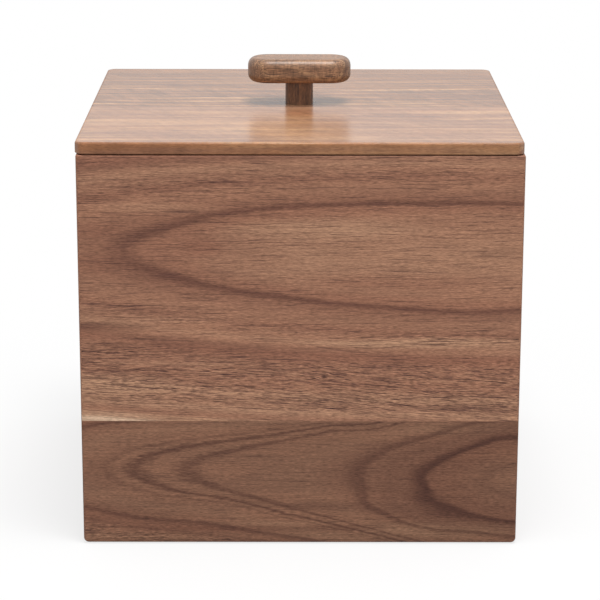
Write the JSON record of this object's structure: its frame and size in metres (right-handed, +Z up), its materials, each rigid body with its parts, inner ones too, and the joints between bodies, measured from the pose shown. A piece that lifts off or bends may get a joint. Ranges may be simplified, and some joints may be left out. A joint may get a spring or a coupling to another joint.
{
  "type": "lidded wooden canister",
  "caption": "Square wooden canister with mitred board walls, a flat lift-off lid held in place by battens inside the rim, and a pill-shaped pull on a short round stem.",
  "frame": {"origin": "middle of the box's footprint, on the surface that the box stands on", "axes": "+Z up through the pull, +Y to the back, +X to the right; the board joints of the front wall run along X"},
  "size_m": [0.2255, 0.225, 0.2377],
  "materials": {
    "wall_upper_boards": "warm mid-brown acacia, satin oil finish, long cathedral grain",
    "wall_lower_boards": "darker brown acacia, satin oil finish, nested cathedral grain",
    "bottom_boards": "brown acacia, thin oil finish, straight grain",
    "splines": "plain unfinished hardwood, hidden in the mitres",
    "lid_boards": "light brown acacia, clear semi-gloss coat, straight streaky grain",
    "battens": "brown acacia, thin oil finish, straight grain",
    "pull": "brown acacia, clear semi-gloss coat, all edges rounded",
    "screw": "bright zinc-plated steel"
  },
  "bodies": {
    "box": {"front_lower_board": "wall_lower_boards", "front_upper_board": "wall_upper_boards", "right_lower_board": "wall_lower_boards", "right_upper_board": "wall_upper_boards", "back_lower_board": "wall_lower_boards", "back_upper_board": "wall_upper_boards", "left_lower_board": "wall_lower_boards", "left_upper_board": "wall_upper_boards", "front_left_spline": "splines", "front_right_spline": "splines", "back_left_spline": "splines", "back_right_spline": "splines", "bottom_front_board": "bottom_boards", "bottom_middle_board": "bottom_boards", "bottom_back_board": "bottom_boards"},
    "lid": {"lid_front_board": "lid_boards", "lid_middle_board": "lid_boards", "lid_back_board": "lid_boards", "front_batten": "battens", "back_batten": "battens", "left_batten": "battens", "right_batten": "battens", "handle_stem": "pull", "handle_grip": "pull", "handle_screw": "screw"}
  },
  "joints": [
    {"name": "lid_lift", "type": "slide", "parent": "box", "child": "lid", "axis": [0, 0, 1], "range_m": [0, 0.1]}
  ]
}
